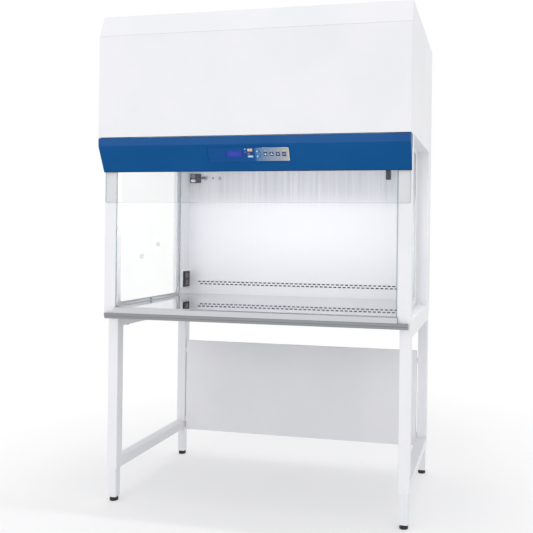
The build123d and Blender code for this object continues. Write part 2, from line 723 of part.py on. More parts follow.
def blower_parts():
    """Centrifugal blower: scroll housing, forward-curved impeller on its shaft, and motor."""
    y0 = BLOWER_Y - BLOWER_W / 2
    y1 = BLOWER_Y + BLOWER_W / 2
    floor = DECK_Z + SHEET - BLOWER_Z
    face = Plane(origin=(0, y1, BLOWER_Z), x_dir=(1, 0, 0), z_dir=(0, -1, 0))
    turn = 540.0 - SCROLL_TONGUE

    def scroll_face(plane, trim):
        pts = []
        for i in range(25):
            share = i / 24
            angle = math.radians(SCROLL_TONGUE + share * turn)
            radius = SCROLL_R0 + (SCROLL_R1 - SCROLL_R0) * share - trim
            pts.append((radius * math.cos(angle), radius * math.sin(angle)))
        with BuildSketch(plane) as outline:
            with BuildLine():
                Spline(*pts)
                Polyline(pts[-1], (pts[-1][0], floor), (pts[0][0] - 2 * trim, floor), pts[0])
            make_face()
        return outline.sketch

    with BuildSketch() as blade:
        with BuildLine():
            ThreePointArc((BLADE_INNER, 0), (BLADE_INNER + 11, 3.5), (IMP_R - 2, 12))
            Line((IMP_R - 2, 12), (IMP_R - 2.8, 13.1))
            ThreePointArc((IMP_R - 2.8, 13.1), (BLADE_INNER + 10.5, 4.9), (BLADE_INNER, 1.4))
            Line((BLADE_INNER, 1.4), (BLADE_INNER, 0))
        make_face()
    with BuildPart() as scroll:
        extrude(scroll_face(face, 0), amount=BLOWER_W)
        block(-SCROLL_R1 - 14, SCROLL_TONGUE_X + 14, y0 - 14, y1 + 14, DECK_Z + SHEET, DECK_Z + 2 * SHEET)
        extrude(scroll_face(face.offset(1.5), 1.5), amount=BLOWER_W - 3, mode=Mode.SUBTRACT)
        block(-SCROLL_R1 + 2, SCROLL_TONGUE_X - 3.5, y0 + 2, y1 - 2, DECK_Z, DECK_Z + 3 * SHEET,
              mode=Mode.SUBTRACT)
        cyl(face.offset(BLOWER_W - 3), BLADE_INNER, 6, mode=Mode.SUBTRACT)
        cyl(face.offset(-2), 62, 6, mode=Mode.SUBTRACT)
    with BuildPart() as impeller:
        back = face.offset(34)
        with BuildSketch(back):
            Circle(IMP_R)
        extrude(amount=2)
        with BuildSketch(back):
            Circle(IMP_HUB / 2)
        extrude(amount=36)
        cyl(face.offset(-30), SHAFT_R, 64)
        with BuildSketch(back.offset(2)):
            with PolarLocations(0, IMP_BLADES):
                add(blade.sketch)
        extrude(amount=100)
        with BuildSketch(back.offset(100)):
            Circle(IMP_R)
            Circle(IMP_R - IMP_RING, mode=Mode.SUBTRACT)
        extrude(amount=2)
    with BuildPart() as motor:
        cyl(face.offset(-2), 74, 2)
        cyl(face.offset(-96), 57, 94)
        cyl(face.offset(-31), SHAFT_R + 0.05, 32, mode=Mode.SUBTRACT)
        with BuildSketch(face.offset(-2)):
            with PolarLocations(0, 24):
                with Locations((57, 0)):
                    Rectangle(5, 2)
        extrude(amount=-80)
    save(scroll.part, "blower_scroll")
    save(impeller.part, "impeller")
    save(motor.part, "blower_motor")


blower_parts()


def electrics():
    """Electrical cover, mains inlet, prefilter pad, lamp tube and its sockets."""
    top = DECK_Z + SHEET
    with BuildPart() as box:
        block(280, 520, -110, 110, top, top + 90)
        block(281.5, 518.5, -108.5, 108.5, top - 1, top + 88.5, mode=Mode.SUBTRACT)
        for side in (-1, 1):
            block(400 - 132, 400 + 132, side * 90 - 8, side * 90 + 8, top, top + 1.5)
            block(283, 517, side * 90 - 9, side * 90 + 9, top - 1, top + 3, mode=Mode.SUBTRACT)
    with BuildPart() as inlet:
        block(INLET_X - 24, INLET_X + 24, BACK_Y - 26, BACK_Y, INLET_Z - 14, INLET_Z + 14)
        block(INLET_X - 13, INLET_X + 13, BACK_Y - 18, BACK_Y + 1, INLET_Z - 9, INLET_Z + 9,
              mode=Mode.SUBTRACT)
        for x in (-7, 0, 7):
            block(INLET_X + x - 1, INLET_X + x + 1, BACK_Y - 19, BACK_Y - 6, INLET_Z - 3, INLET_Z + 3)
    w = PREFILTER_NX * 20 + 12
    d = PREFILTER_NY * 8 + 10
    under = ROOF_Z - SHEET
    with BuildPart() as pad:
        block(-w, w, PREFILTER_Y - d, PREFILTER_Y + d, under - PAD_H, under)
    with BuildPart() as tube:
        with BuildSketch(Plane(origin=(-LAMP_HALF, LAMP_Y, LAMP_Z), z_dir=(1, 0, 0))):
            Circle(LAMP_R)
        extrude(amount=2 * LAMP_HALF)
    with BuildPart() as holders:
        for side in (-1, 1):
            x0, x1 = sorted((side * (LAMP_HALF - 4), side * (LAMP_HALF + 12)))
            block(x0, x1, LAMP_Y - 17, LAMP_Y + 17, LAMP_Z - 18, WALL_TOP_Z - 1.5)
            end = Plane(origin=(side * (LAMP_HALF - 5), LAMP_Y, LAMP_Z), z_dir=(side, 0, 0))
            cyl(end, LAMP_R + 0.2, 5.2, mode=Mode.SUBTRACT)
    save(box.part, "electrical_box")
    save(inlet.part, "mains_inlet")
    save(pad.part, "prefilter_pad")
    save(tube.part, "lamp_tube")
    save(group(holders.part, *lamp_brackets), "lamp_holders")


electrics()


def fascia():
    """Blue control fascia: a folded sheet with end caps and a cut-out for the control panel."""
    back = POST_Y - FIT - VISOR_T - 0.7
    n = FASCIA_SHEET
    run = FASCIA_RUN / (FASCIA_CREASE - FASCIA_BOTTOM)
    along = n * math.hypot(1, run)
    corner = (FACE_Y + FASCIA_RUN, FASCIA_BOTTOM)
    inside_low = (corner[0] + along - n * run, FASCIA_BOTTOM + n)
    inside_high = (FACE_Y + n, FASCIA_CREASE - (n - along) / run)
    profile = ((FACE_Y, FASCIA_TOP), (FACE_Y, FASCIA_CREASE), corner, (back, FASCIA_BOTTOM),
               (back, FASCIA_BOTTOM + n), inside_low, inside_high, (FACE_Y + n, FASCIA_TOP - n),
               (back - 2, FASCIA_TOP - n), (back - 2, FASCIA_TOP))
    cap = ((FACE_Y, FASCIA_TOP), (FACE_Y, FASCIA_CREASE), corner, (back, FASCIA_BOTTOM), (back, FASCIA_TOP))
    with BuildPart() as shell:
        side_profile(profile, -HALF, HALF)
        side_profile(cap, -HALF, -HALF + n)
        side_profile(cap, HALF - n, HALF)
        for side in (-1, 1):
            x0, x1 = sorted((side * HALF, side * (HALF - n)))
            block(x0, x1, back - 1, POST_Y, VISOR_Z1 + 10, FASCIA_TOP)
            x0, x1 = sorted((side * HALF, side * (HALF - 25)))
            block(x0, x1, POST_Y - n, POST_Y, VISOR_Z1 + 10, FASCIA_TOP)
        with BuildSketch(PANEL.offset(2)):
            with Locations((0, PANEL_MID)):
                RectangleRounded(PANEL_W, PANEL_S1 - PANEL_S0, 4)
        extrude(amount=-n - 4, mode=Mode.SUBTRACT)
    save(shell.part, "control_fascia")


fascia()


def key_shape(width, height, extra=0.0):
    """Outline of one key, for use inside a sketch."""
    if height == 0:
        Circle(width / 2 + extra)
    else:
        RectangleRounded(width + 2 * extra, height + 2 * extra, 1.5 + extra)


def panel_openings(extra):
    """All key, display and lens openings, for use inside a sketch on the panel plane."""
    for name, x, s, width, height in KEYS:
        with Locations((x, -s)):
            key_shape(width, height, extra)
    with Locations((LCD[0], -LCD[1])):
        Rectangle(LCD[2], LCD[3])
    for x, s in LENSES:
        with Locations((x, -s)):
            Circle(LENS_R)


def control_panel():
    """Panel tray with its bosses, printed overlay, display, lenses, keys and circuit board."""
    w = PANEL_W - 0.8
    h = PANEL_S1 - PANEL_S0 - 0.8
    with BuildPart() as tray:
        with BuildSketch(PANEL.offset(TRAY_BACK)):
            with Locations((0, PANEL_MID)):
                RectangleRounded(PANEL_W + 14, PANEL_S1 - PANEL_S0 + 12, 6)
        extrude(amount=-FASCIA_SHEET - TRAY_BACK)
        with BuildSketch(PANEL.offset(-FASCIA_SHEET)):
            with Locations((0, PANEL_MID)):
                RectangleRounded(w, h, 3.6)
        extrude(amount=FASCIA_SHEET - PANEL_DEEP)
        with BuildSketch(PANEL.offset(BOARD_TOP)):
            with Locations((0, PANEL_MID)):
                with GridLocations(PANEL_W - 24, PANEL_S1 - PANEL_S0 - 16, 2, 2):
                    Circle(3)
        extrude(amount=TRAY_BACK - BOARD_TOP)
        with BuildSketch(PANEL.offset(TRAY_BACK - 1)):
            panel_openings(KEY_GAP)
        extrude(amount=8, mode=Mode.SUBTRACT)
    with BuildPart() as overlay:
        with BuildSketch(PANEL.offset(-PANEL_DEEP)):
            with Locations((0, PANEL_MID)):
                RectangleRounded(w, h, 3.6)
        extrude(amount=OVERLAY_T)
        with BuildSketch(PANEL.offset(-PANEL_DEEP - 1)):
            panel_openings(KEY_GAP)
        extrude(amount=4, mode=Mode.SUBTRACT)
    with BuildPart() as lcd:
        with BuildSketch(PANEL.offset(BOARD_TOP)):
            with Locations((LCD[0], -LCD[1])):
                Rectangle(LCD[2], LCD[3])
        extrude(amount=-BOARD_TOP - PANEL_DEEP + 0.1)
    with BuildPart() as lenses:
        with BuildSketch(PANEL.offset(BOARD_TOP)):
            for x, s in LENSES:
                with Locations((x, -s)):
                    Circle(LENS_R)
        extrude(amount=-BOARD_TOP + OVERLAY_TOP + 0.5)
    with BuildPart() as board:
        with BuildSketch(PANEL.offset(BOARD_TOP - 1.6)):
            with Locations((0, PANEL_MID)):
                Rectangle(PANEL_W - 10, PANEL_S1 - PANEL_S0 - 6)
        extrude(amount=1.6)
    save(tray.part, "panel_tray")
    save(overlay.part, "panel_overlay")
    save(lcd.part, "panel_display")
    save(group(lenses.part), "indicator_lenses")
    save(board.part, "keypad_board")
    for name, x, s, width, height in KEYS:
        with BuildPart() as key:
            with BuildSketch(PANEL.offset(TRAY_BACK - KEY_SLACK)):
                with Locations((x, -s)):
                    key_shape(width, height)
            extrude(amount=OVERLAY_TOP + KEY_PROUD - TRAY_BACK + KEY_SLACK)
            chamfer(key.faces().sort_by(Axis.Y)[0].outer_wire().edges(), 0.3)
            with BuildSketch(PANEL.offset(TRAY_BACK - KEY_SLACK - KEY_FLANGE_T)):
                with Locations((x, -s)):
                    key_shape(width, height, KEY_FLANGE)
            extrude(amount=KEY_FLANGE_T)
        save(key.part, name)


control_panel()


def stand_frame():
    """Right-hand stand frame: two leg tubes with guide collars and two bars, welded into one."""
    cap = BASE_Z
    back = REAR_LEG_Y + TUBE
    front_back = LEG_Y + TUBE
    bore = TUBE / 2 - TUBE_WALL
    hole = INNER / 2 + BUSH_GAP
    with BuildPart() as frame:
        for y in (LEG_Y, REAR_LEG_Y):
            block(LEG_X - TUBE / 2, LEG_X + TUBE / 2, y, y + TUBE, TUBE_BOTTOM, cap)
        fillet(frame.edges().filter_by(Axis.Z), 3.0)
        for z0, z1 in ((TUBE_BOTTOM, TUBE_BOTTOM + BAR_H), (cap - BAR_H, cap)):
            block(LEG_X - TUBE / 2, LEG_X + TUBE / 2, front_back - 4, REAR_LEG_Y + 4, z0, z1)
            block(LEG_X - TUBE / 2 + TUBE_WALL, LEG_X + TUBE / 2 - TUBE_WALL, front_back, REAR_LEG_Y,
                  z0 + TUBE_WALL, z1 - TUBE_WALL, mode=Mode.SUBTRACT)
        for y in (LEG_Y + TUBE / 2, REAR_LEG_Y + TUBE / 2):
            block(LEG_X - bore, LEG_X + bore, y - bore, y + bore, LOCK_Z + 16, cap - TUBE_WALL,
                  mode=Mode.SUBTRACT)
            block(LEG_X - hole, LEG_X + hole, y - hole, y + hole, TUBE_BOTTOM - 1, LOCK_Z + 17,
                  mode=Mode.SUBTRACT)
            lock = Plane(origin=(LEG_X, y + hole - 2, LOCK_Z), x_dir=(1, 0, 0), z_dir=(0, 1, 0))
            cyl(lock, LOCK_R, TUBE / 2 - hole + 4, mode=Mode.SUBTRACT)
        for y in BOLT_YS:
            up = Plane(origin=(LEG_X, y, cap - BAR_H - 1), z_dir=(0, 0, 1))
            cyl(up, BOLT_R + BOLT_CLEAR, BAR_H + 2, mode=Mode.SUBTRACT)
        for z in PANEL_SCREW_ZS:
            side = Plane(origin=(LEG_X - TUBE / 2 - 1, PANEL_SCREW_Y, z), x_dir=(0, 1, 0), z_dir=(1, 0, 0))
            cyl(side, 3.0, TUBE_WALL + 2, mode=Mode.SUBTRACT)
    return frame.part


def lock_bolt(y):
    """Clamp bolt at the back of one right-hand leg tube."""
    tip = y + INNER / 2 + BUSH_GAP
    with BuildPart() as bolt:
        cyl(Plane(origin=(LEG_X, tip, LOCK_Z), x_dir=(1, 0, 0), z_dir=(0, 1, 0)), LOCK_R,
            TUBE / 2 - INNER / 2 - BUSH_GAP)
        with BuildSketch(Plane(origin=(LEG_X, y + TUBE / 2, LOCK_Z), x_dir=(1, 0, 0), z_dir=(0, 1, 0))):
            RegularPolygon(6.5, 6)
        extrude(amount=5.3)
    return bolt.part


def inner_leg(y):
    """Telescoping inner leg with its tapped foot plate, on the right-hand side."""
    half = INNER / 2
    bore = half - INNER_WALL
    with BuildPart() as leg:
        block(LEG_X - half, LEG_X + half, y - half, y + half, INNER_BOTTOM, INNER_TOP)
        fillet(leg.edges().filter_by(Axis.Z), 2.5)
        block(LEG_X - bore, LEG_X + bore, y - bore, y + bore, INNER_BOTTOM + 10, INNER_TOP + 1,
              mode=Mode.SUBTRACT)
        cyl(Plane(origin=(LEG_X, y, INNER_BOTTOM - 1), z_dir=(0, 0, 1)), STUD_R + STUD_GAP, 12,
            mode=Mode.SUBTRACT)
    return leg.part


def foot(y):
    """Levelling foot: ribbed pad with a stud."""
    with BuildPart() as pad:
        with BuildSketch(Plane(origin=(LEG_X, y, 0), z_dir=(0, 0, 1))):
            Circle(FOOT_R)
            with PolarLocations(FOOT_R, 16):
                Circle(1.3, mode=Mode.SUBTRACT)
        extrude(amount=INNER_BOTTOM)
        chamfer(pad.faces().sort_by(Axis.Z)[0].outer_wire().edges(), 0.8)
        cyl(Plane(origin=(LEG_X, y, INNER_BOTTOM), z_dir=(0, 0, 1)), STUD_R, STUD_TOP - INNER_BOTTOM)
        chamfer(pad.faces().sort_by(Axis.Z)[-1].edges(), 1.0)
    return pad.part


def stand_panel():
    """Sheet between the rear legs: folded edges and four ears that meet the legs."""
    x1 = LEG_X - TUBE / 2 - PANEL_SIDE_GAP
    y = REAR_LEG_Y
    back = y + PANEL_RETURN
    with BuildPart() as panel:
        block(-x1, x1, y, y + PANEL_SHEET, PANEL_Z0, PANEL_Z1)
        block(-x1, x1, y, back, PANEL_Z0, PANEL_Z0 + PANEL_SHEET)
        block(-x1, x1, y, back, PANEL_Z1 - PANEL_SHEET, PANEL_Z1)
        for side in (-1, 1):
            a, b = sorted((side * x1, side * (x1 - PANEL_SHEET)))
            block(a, b, y, back, PANEL_Z0, PANEL_Z1)
            a, b = sorted((side * x1, side * (LEG_X - TUBE / 2)))
            for z in PANEL_SCREW_ZS:
                block(a, b, y + 5, back, z - 12, z + 12)
                hole = Plane(origin=(side * (x1 - 4), PANEL_SCREW_Y, z), x_dir=(0, 1, 0), z_dir=(side, 0, 0))
                cyl(hole, 3.0, PANEL_SIDE_GAP + 8, mode=Mode.SUBTRACT)
    return panel.part


def panel_screws():
    """Screws through the panel's ears into the right-hand rear leg."""
    x1 = LEG_X - TUBE / 2 - PANEL_SIDE_GAP - PANEL_SHEET
    with BuildPart() as screws:
        for z in PANEL_SCREW_ZS:
            seat = Plane(origin=(x1, PANEL_SCREW_Y, z), x_dir=(0, 1, 0), z_dir=(-1, 0, 0))
            with BuildSketch(seat):
                Circle(5.5)
            extrude(amount=3.0, taper=15)
            cyl(seat.offset(-PANEL_SHEET - PANEL_SIDE_GAP - TUBE_WALL), 3.0,
                PANEL_SHEET + PANEL_SIDE_GAP + TUBE_WALL)
    return screws.part


def cabinet_bolts():
    """Hex bolts that hold the cabinet down, up through the right-hand top bar."""
    z0 = BASE_Z - BAR_H
    with BuildPart() as bolts:
        for y in BOLT_YS:
            with BuildSketch(Plane(origin=(LEG_X, y, z0), x_dir=(1, 0, 0), z_dir=(0, 0, -1))):
                RegularPolygon(8.5, 6)
            extrude(amount=6.4)
            cyl(Plane(origin=(LEG_X, y, z0), z_dir=(0, 0, 1)), BOLT_R, BAR_H + SHEET + 10)
    with BuildPart() as nuts:
        for y in BOLT_YS:
            with BuildSketch(Plane(origin=(LEG_X, y, BASE_Z + SHEET), z_dir=(0, 0, 1))):
                RegularPolygon(8.5, 6)
                Circle(BOLT_R, mode=Mode.SUBTRACT)
            extrude(amount=8)
    return bolts.part, nuts.part


frame_right = stand_frame()
save(frame_right, "stand_frame_right")
save(mirrored(frame_right), "stand_frame_left")
locks = [lock_bolt(FRONT_AXIS), lock_bolt(REAR_AXIS)]
for place, y in (("front", FRONT_AXIS), ("rear", REAR_AXIS)):
    leg = inner_leg(y)
    pad = foot(y)
    save(leg, "inner_leg_" + place + "_right")
    save(mirrored(leg), "inner_leg_" + place + "_left")
    save(pad, "foot_" + place + "_right")
    save(mirrored(pad), "foot_" + place + "_left")
save(stand_panel(), "stand_panel")
panel_fixings = panel_screws()
pane_and_panel = (screws_right, mirrored(screws_right), panel_fixings, mirrored(panel_fixings))
save(group(rail_screws(), *pane_and_panel), "screws")
bolts, nuts = cabinet_bolts()
bolted = [bolts, nuts] + locks
save(group(*bolted, *[mirrored(piece) for piece in bolted]), "hex_bolts")
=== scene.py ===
import math

import bmesh
import bpy
from mathutils import Matrix, Vector


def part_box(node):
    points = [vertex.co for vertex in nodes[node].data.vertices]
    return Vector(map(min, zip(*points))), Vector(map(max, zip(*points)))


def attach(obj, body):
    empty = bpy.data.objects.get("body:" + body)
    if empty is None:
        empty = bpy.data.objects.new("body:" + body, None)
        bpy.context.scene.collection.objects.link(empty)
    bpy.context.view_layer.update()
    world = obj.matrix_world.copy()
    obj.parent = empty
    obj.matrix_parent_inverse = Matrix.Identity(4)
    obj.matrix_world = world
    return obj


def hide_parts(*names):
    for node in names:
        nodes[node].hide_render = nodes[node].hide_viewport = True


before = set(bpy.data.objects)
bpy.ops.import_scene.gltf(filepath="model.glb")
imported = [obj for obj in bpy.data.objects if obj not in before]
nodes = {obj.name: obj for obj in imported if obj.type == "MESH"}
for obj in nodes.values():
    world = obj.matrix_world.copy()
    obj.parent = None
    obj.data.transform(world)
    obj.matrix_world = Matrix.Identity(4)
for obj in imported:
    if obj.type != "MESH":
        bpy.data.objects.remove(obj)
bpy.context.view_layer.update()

# Looks of a vertical laminar flow hood on a telescoping stand, in metres.
# +X is the object's right seen from the front, the front faces -Y, and the floor is Z = 0.

# Camera that matches the photograph
CAMERA_PLACE = (1.0014, -2.9943, 1.1764)
CAMERA_YAW = 11.453
CAMERA_ROLL = 0.696
CAMERA_LENS = 45.49
CAMERA_SHIFT = (-0.1768, -0.0565)

# Width of the hidden flange round each key cap
KEY_FLANGE = 0.0006

# Slanted facet of the control fascia, which carries the control panel
FACET_TOP = Vector((0.0, -0.4025, 1.547))
FACET_RUN = 0.046
FACET_FALL = 0.107
FACET_ANGLE = math.atan2(FACET_RUN, FACET_FALL)

# Where the metal caps of the lamp tube begin, and the height of the bolts under the stand's top bars
LAMP_CAP_X = 0.568
BAR_BOLT_Z = (0.76, 0.808)

# Heights on the rear wall between which the painted shade under the hood fades in and brings out its
# streaks
WALL_PAINTED_SHADE_Z = (1.30, 1.42)

# Left lamp fitting on the rear wall: middle of its ring and of its cap, as X and Z, their reach from
# there, how much wider than high the cap is, and the Y of the plate's front
HOLDER_RING = (-0.595, 1.486)
HOLDER_CAP = (-0.593, 1.462)
HOLDER_REACH = 0.0115
HOLDER_CAP_SQUASH = 11 / 7.5
HOLDER_PLATE_Y = 0.3595

# Duplex outlet, from its middle: half width of the sockets' faces, where they start and end upward, and
# half width and half height of the blue bar between them
SOCKET_HALF = 0.0160
SOCKET_RISE = (0.0055, 0.0310)
BAR_HALF = (0.013, 0.003)

# Height of the painted shadow along the fascia's hem at the foot of its slanted facet, and half the width
# of the soft line where its two facets meet, across which the painted light of the upright facet fades in
FASCIA_PAINTED_SHADOW_Z = FACET_TOP.z - FACET_FALL + 0.0028
FOLD_SOFT = 0.003

# Height of the floor dust on the feet
DUST_TOP = 0.010

# Share of the surface normal past which a face counts as the ground edge of a pane
PANE_EDGE = 0.6

# Silver field printed on the panel film. FIELD_X0 and FIELD_X1 are its ends. FIELD_TOP, FIELD_BOTTOM and
# FIELD_MIDDLE are measured down the facet from the fascia's crease. Its top edge arches round FIELD_ARCH_X.
FIELD_X0 = 0.021
FIELD_X1 = 0.173
FIELD_TOP = 0.0145
FIELD_BOTTOM = 0.0725
FIELD_MIDDLE = 0.0444
FIELD_CORNER = 0.004
FIELD_ARCH_X = 0.105
FIELD_ARCH = 0.62

# Where along X the field fades in, turns from blue to silver and from silver to a warmer grey, and where
# the pale rim along its top edge starts. The rim's width at the right end and along the top.
FIELD_FADE_X = (FIELD_X0, FIELD_X0 + 0.020)
FIELD_SILVER_X = (0.03, 0.12)
FIELD_WARM_X = (0.11, FIELD_X1)
FIELD_RIM_START = 0.06
FIELD_RIM_X = 0.0030
FIELD_RIM_DOWN = 0.0020

# Ring printed round the two round keys: its middle along X and down the facet, radius and half width
RING_AT = (0.038, 0.0435)
RING_R = 0.0148
RING_LINE = 0.0011

# Width of the dark line of painted shade at the film's ends and along its top, where the film meets its
# recess
FILM_SHADE_LINE = 0.0012
FILM_TOP_SHADE_LINE = 0.0022

# Share of the display's half size where its dark border starts
DISPLAY_BORDER = 0.93

# Indicator lenses: place along X, place down the facet, colour
LENS_REACH = 0.006
LENS_COLORS = ((0.073, 0.030, (178, 214, 40)), (0.0993, 0.030, (104, 182, 232)),
               (0.1257, 0.030, (170, 200, 226)), (0.152, 0.030, (230, 220, 120)),
               (-0.0135, 0.0225, (226, 220, 226)), (-0.0135, 0.035, (214, 92, 66)))

# Share of a key's half size where the line round its edge starts and is full
KEY_LINE = (0.89, 0.95)

# Slots of the back panel
SLOT_COLUMNS = 16
SLOT_STEP = 0.070
SLOT_ROWS = 0.026
SLOT_MIDDLE_Z = 0.91975
BACK_INNER_Y = 0.4006

# What of the back panel lies before this Y is painted dark grey-blue as shade in the cavity, instead of
# white powder
CAVITY_SHADE_Y = BACK_INNER_Y + 0.0002

# Hoods pressed inward over the slots: faces along and round, half length, top above the slot's middle,
# height, depth and sheet
HOOD_ACROSS = 20
HOOD_AROUND = 6
HOOD_HALF = 0.030
HOOD_TOP = 0.0070
HOOD_HIGH = 0.0135
HOOD_DEEP = 0.009
HOOD_SHEET = 0.0010

# Studio: how far out the floor fades into plain white, its own glow, and the light of the surroundings
FLOOR_FADE = (0.9, 2.0)
FLOOR_GLOW = 0.35
FLOOR_SIZE = 40.0
WORLD_LIGHT = 0.86

# Lamps: name, place, point aimed at, size, power
LAMPS = (
    ("lamp_front", (-1.0, -4.8, 1.9), (0, 0, 1.1), (3.4, 2.2), 33.0),
    ("lamp_right", (4.2, -1.6, 2.2), (0, 0, 1.1), (2.4, 2.4), 8.0),
    ("lamp_top", (0.0, 0.0, 5.0), (0, 0, 1.0), (3.0, 3.0), 27.0),
    ("lamp_rear", (1.5, 4.8, 2.2), (0, 0, 1.0), (3.0, 2.2), 14.0),
    ("lamp_chamber", (0.0, -0.27, 1.53), (0, 0.02, 0.86), (1.1, 0.04), 4.8),
)


def srgb(red, green, blue):
    """Linear colour of an 8-bit screen colour."""
    def linear(value):
        share = value / 255
        return share / 12.92 if share <= 0.04045 else ((share + 0.055) / 1.055) ** 2.4
    return (linear(red), linear(green), linear(blue), 1.0)


WHITE = srgb(237, 237, 240)
WHITE_SHADE = srgb(233, 234, 237)
FASCIA_BLUE = srgb(8, 80, 144)
FILM_BLUE = srgb(6, 78, 142)
FITTING_DARK = srgb(52, 54, 58)
RUBBER = srgb(44, 34, 40)
TUBE_WHITE = srgb(240, 242, 242)
LENS_GREY = srgb(200, 210, 210)
NAVY = srgb(15, 45, 112)
SKY = srgb(92, 160, 214)
SKY_RIM = srgb(60, 112, 164)
SILVER_LINE = srgb(196, 202, 210)
SIGN_WHITE = srgb(236, 240, 246)


class Wire:
    """An output in a material's node tree. Arithmetic on it adds Math nodes."""

    def __init__(self, paint, socket):
        self.paint = paint
        self.socket = socket

    def combine(self, operation, *others):
        """Result of a Math node that takes this first and then the others."""
        return self.paint.node("ShaderNodeMath", {"operation": operation}, [self, *others])

    def __add__(self, other):
        return self.combine("ADD", other)

    __radd__ = __add__

    def __sub__(self, other):
        return self.combine("SUBTRACT", other)

    def __rsub__(self, other):
        return self.paint.node("ShaderNodeMath", {"operation": "SUBTRACT"}, [other, self])

    def __mul__(self, other):
        return self.combine("MULTIPLY", other)

    __rmul__ = __mul__

    def __gt__(self, other):
        return self.combine("GREATER_THAN", other)

    def __lt__(self, other):
        return self.combine("LESS_THAN", other)

    def __abs__(self):
        return self.combine("ABSOLUTE")

    def power(self, exponent):
        return self.combine("POWER", exponent)

    def sine(self):
        return self.combine("SINE")

    def angle(self, other):
        """Direction of a point, with this as its sideways part and the other as its upward one."""
        return self.paint.node("ShaderNodeMath", {"operation": "ARCTAN2"}, [other, self])

    def high(self, other):
        """The larger of this and the other."""
        return self.combine("MAXIMUM", other)

    def reach(self, other):
        """Distance of a point from the middle, with this and the other as its two parts."""
        return (self.power(2.0) + other.power(2.0)).power(0.5)

    def between(self, low, high):
        """1 where the value lies between two limits."""
        return (self > low) * (self < high)

    def ramp(self, start, end):
        """A soft step from 0 at start to 1 at end."""
        settings = {"interpolation_type": "SMOOTHSTEP"}
        sockets = {"Value": self, "From Min": start, "From Max": end}
        return self.paint.node("ShaderNodeMapRange", settings, sockets)


class Paint:
    """One material: a Principled shader and the nodes that feed it."""

    def __init__(self, name, color, roughness, metallic=0.0, **fixed):
        self.material = bpy.data.materials.new(name)
        self.material.use_nodes = True
        self.tree = self.material.node_tree
        self.tree.nodes.clear()
        self.output = self.tree.nodes.new("ShaderNodeOutputMaterial")
        self.shader = self.tree.nodes.new("ShaderNodeBsdfPrincipled")
        self.tree.links.new(self.shader.outputs[0], self.output.inputs[0])
        self.feed("Base Color", color)
        self.feed("Roughness", roughness)
        self.feed("Metallic", metallic)
        for socket, value in fixed.items():
            self.feed(socket.replace("_", " "), value)

    def feed(self, socket, value):
        """Set one input of the shader to a value or a wire."""
        self.plug(self.shader.inputs[socket], value)

    def plug(self, socket, value):
        """Set a socket to a value, or link a wire to it."""
        if isinstance(value, Wire):
            self.tree.links.new(value.socket, socket)
        else:
            socket.default_value = value

    def node(self, kind, settings=None, inputs=(), out=0):
        """Add a node: its settings first, then its sockets by place or by name."""
        made = self.tree.nodes.new(kind)
        for name, value in (settings or {}).items():
            setattr(made, name, value)
        pairs = inputs.items() if isinstance(inputs, dict) else enumerate(inputs)
        for name, value in pairs:
            self.plug(made.inputs[name], value)
        return Wire(self, made.outputs[out])

    def place(self):
        """Position on the piece, in the row frame at rest."""
        return self.node("ShaderNodeTexCoord", out="Object")

    def axes(self):
        """The three coordinates of the position as numbers."""
        split = self.node("ShaderNodeSeparateXYZ", None, [self.place()])
        return [Wire(self, socket) for socket in split.socket.node.outputs]

    def facing(self):
        """Absolute value of each part of the surface normal."""
        normal = self.node("ShaderNodeNewGeometry", out="Normal")
        split = self.node("ShaderNodeSeparateXYZ", None, [normal])
        return [abs(Wire(self, socket)) for socket in split.socket.node.outputs]

    def stretched(self, x, y, z):
        """Position scaled by a factor along each axis."""
        return self.node("ShaderNodeVectorMath", {"operation": "MULTIPLY"}, [self.place(), (x, y, z)])

    def noise(self, scale=1.0, detail=2.0, where=None, rough=0.5):
        """Soft random pattern from 0 to 1, by default at the position on the piece."""
        where = where or self.place()
        sockets = {"Vector": where, "Scale": scale, "Detail": detail, "Roughness": rough}
        return self.node("ShaderNodeTexNoise", None, sockets)

    def mix(self, factor, first, second):
        """Colour that goes from the first to the second as the factor goes from 0 to 1."""
        made = self.tree.nodes.new("ShaderNodeMix")
        made.data_type = "RGBA"
        for socket, value in ((0, factor), (6, first), (7, second)):
            self.plug(made.inputs[socket], value)
        return Wire(self, made.outputs[2])

    def bump(self, height, distance, strength=1.0):
        """Tilt the surface as if it stood out by a pattern's height times the distance."""
        sockets = {"Height": height, "Distance": distance, "Strength": strength}
        self.feed("Normal", self.node("ShaderNodeBump", None, sockets))

    def baked_coat(self, roughness, grain):
        """Uneven gloss and the fine ripple of baked powder."""
        self.feed("Roughness", self.noise(60.0) * 0.10 + (roughness - 0.05))
        ripple = self.noise(260.0, 2.0) + self.noise(1400.0, 1.0) * 0.35
        self.bump(ripple, grain, 0.5)

    def spark_texture(self, roughness, grain=0.00003):
        """Fine spark-eroded texture of moulded plastic."""
        speck = self.noise(1500.0, 2.0)
        self.feed("Roughness", speck * 0.12 + (roughness - 0.06))
        self.bump(speck, grain, 0.4)


def powder_coat(name, color, shade, roughness=0.40, grain=0.00005):
    """Powder coat: even colour with faint clouding, and the fine ripple of the baked coat."""
    paint = Paint(name, color, roughness)
    clouds = paint.noise(3.5, 3.0).ramp(0.35, 0.65)
    paint.feed("Base Color", paint.mix(clouds, color, shade))
    paint.baked_coat(roughness, grain)
    return paint


def back_coat():
    """White powder coat outside; the inner face and the pressed hoods are painted dark grey-blue as shade
    in the cavity behind the slots.
    """
    paint = Paint("back_coat", WHITE, 0.40)
    y = paint.axes()[1]
    # Painted shade: the inner face and the hoods take a dark colour that stands in for the shade in the
    # cavity.
    inside = y < CAVITY_SHADE_Y
    murk = paint.noise(25.0, 2.0).ramp(0.35, 0.65)
    cavity_painted_shade = paint.mix(murk, srgb(58, 66, 88), srgb(46, 53, 72))
    outside = paint.mix(paint.noise(3.5, 3.0).ramp(0.35, 0.65), WHITE, WHITE_SHADE)
    paint.feed("Base Color", paint.mix(inside, outside, cavity_painted_shade))
    paint.baked_coat(0.40, 0.00005)
    return paint


